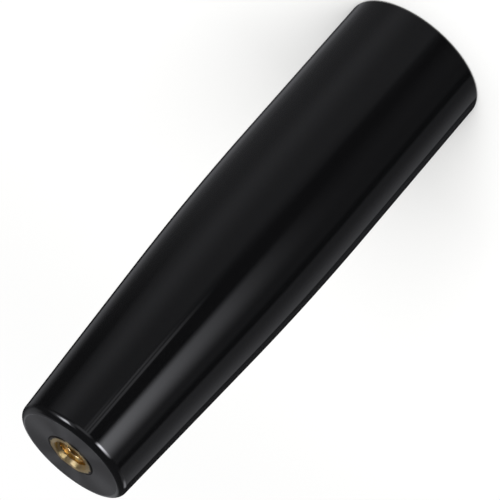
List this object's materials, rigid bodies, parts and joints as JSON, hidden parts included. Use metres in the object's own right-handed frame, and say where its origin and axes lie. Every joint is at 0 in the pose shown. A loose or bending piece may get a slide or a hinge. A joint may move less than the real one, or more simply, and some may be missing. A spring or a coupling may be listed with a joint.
{
  "type": "revolving machine handle",
  "caption": "Tapered black moulded handle that turns freely on a brass spindle with a tapped end, to be screwed to a crank or handwheel.",
  "frame": {"origin": "centre of the flat outer end, which the handle stands on", "axes": "+Z along the handle's axis, from the outer end towards the tapped mounting end; the handle is round, so +X and +Y are free, and the retaining ring's opening faces +X"},
  "size_m": [0.0254, 0.0254, 0.0901],
  "materials": {
    "phenolic": "polished black phenolic moulding, with a matt sanded mounting end",
    "brass": "turned brass",
    "spring_steel": "drawn spring wire"
  },
  "bodies": {
    "spindle": {"spindle": "brass"},
    "grip": {"grip": "phenolic", "retaining_ring": "spring_steel"}
  },
  "joints": [
    {"name": "grip_spin", "type": "hinge", "parent": "spindle", "child": "grip", "pos_m": [0, 0, 0.06], "axis": [0, 0, 1], "continuous": true}
  ]
}
